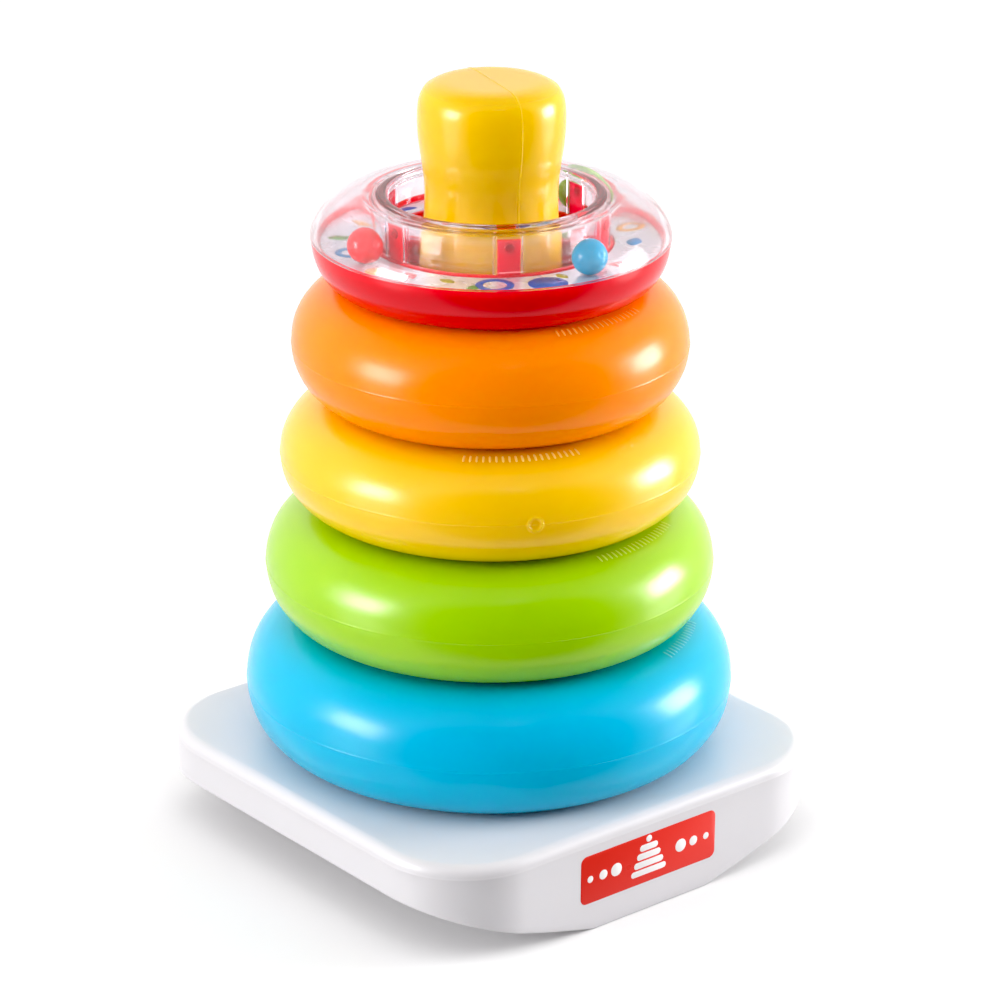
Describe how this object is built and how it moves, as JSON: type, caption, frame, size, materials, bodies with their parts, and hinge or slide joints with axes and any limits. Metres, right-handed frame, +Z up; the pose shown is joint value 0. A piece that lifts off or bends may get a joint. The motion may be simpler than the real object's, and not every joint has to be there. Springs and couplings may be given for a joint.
{
  "type": "stacking ring toy",
  "caption": "Infant stacking toy: tapered post on a rocker base carries hollow rings of falling size and a clear-topped rattle ring with loose beads.",
  "frame": {"origin": "on the ground under the middle of the base, at the centre of the flat under the rocker", "axes": "+Z up along the post, X along the rocker, Y across it; the label is on the -Y face"},
  "size_m": [0.14, 0.138, 0.216],
  "materials": {
    "base_white": "satin",
    "screw_steel": "plated",
    "label_red": "printed film",
    "post_yellow": "gloss",
    "ring_blue": "gloss",
    "ring_green": "gloss",
    "ring_yellow": "gloss",
    "ring_orange": "gloss",
    "rattle_red": "gloss",
    "print_silver": "metallic print",
    "rattle_clear": "clear gloss",
    "bead_red": "gloss",
    "bead_blue": "gloss",
    "bead_green": "gloss"
  },
  "bodies": {
    "base": {"base_shell": "base_white", "base_bottom": "base_white", "base_screws": "screw_steel", "label": "label_red", "post": "post_yellow"},
    "ring_blue": {"ring_blue": "ring_blue"},
    "ring_green": {"ring_green": "ring_green"},
    "ring_yellow": {"ring_yellow": "ring_yellow"},
    "ring_orange": {"ring_orange": "ring_orange"},
    "rattle": {"rattle_bowl": "rattle_red", "rattle_print": "print_silver", "rattle_dome": "rattle_clear"},
    "bead_red": {"bead_red": "bead_red"},
    "bead_blue": {"bead_blue": "bead_blue"},
    "bead_green": {"bead_green": "bead_green"}
  },
  "joints": [
    {"name": "ring_blue_lift", "type": "slide", "parent": "base", "child": "ring_blue", "axis": [0, 0, 1], "range_m": [0, 0.2]},
    {"name": "ring_green_lift", "type": "slide", "parent": "ring_blue", "child": "ring_green", "axis": [0, 0, 1], "range_m": [0, 0.16]},
    {"name": "ring_yellow_lift", "type": "slide", "parent": "ring_green", "child": "ring_yellow", "axis": [0, 0, 1], "range_m": [0, 0.13]},
    {"name": "ring_orange_lift", "type": "slide", "parent": "ring_yellow", "child": "ring_orange", "axis": [0, 0, 1], "range_m": [0, 0.1]},
    {"name": "rattle_lift", "type": "slide", "parent": "ring_orange", "child": "rattle", "axis": [0, 0, 1], "range_m": [0, 0.065]},
    {"name": "bead_red_roll", "type": "hinge", "parent": "rattle", "child": "bead_red", "pos_m": [0, 0, 0.1766], "axis": [0, 0, 1], "continuous": true},
    {"name": "bead_blue_roll", "type": "hinge", "parent": "bead_red", "child": "bead_blue", "pos_m": [0, 0, 0.1766], "axis": [0, 0, 1], "range_deg": [-82, 75]},
    {"name": "bead_green_roll", "type": "hinge", "parent": "bead_blue", "child": "bead_green", "pos_m": [0, 0, 0.1766], "axis": [0, 0, 1], "range_deg": [-87, 70]}
  ]
}
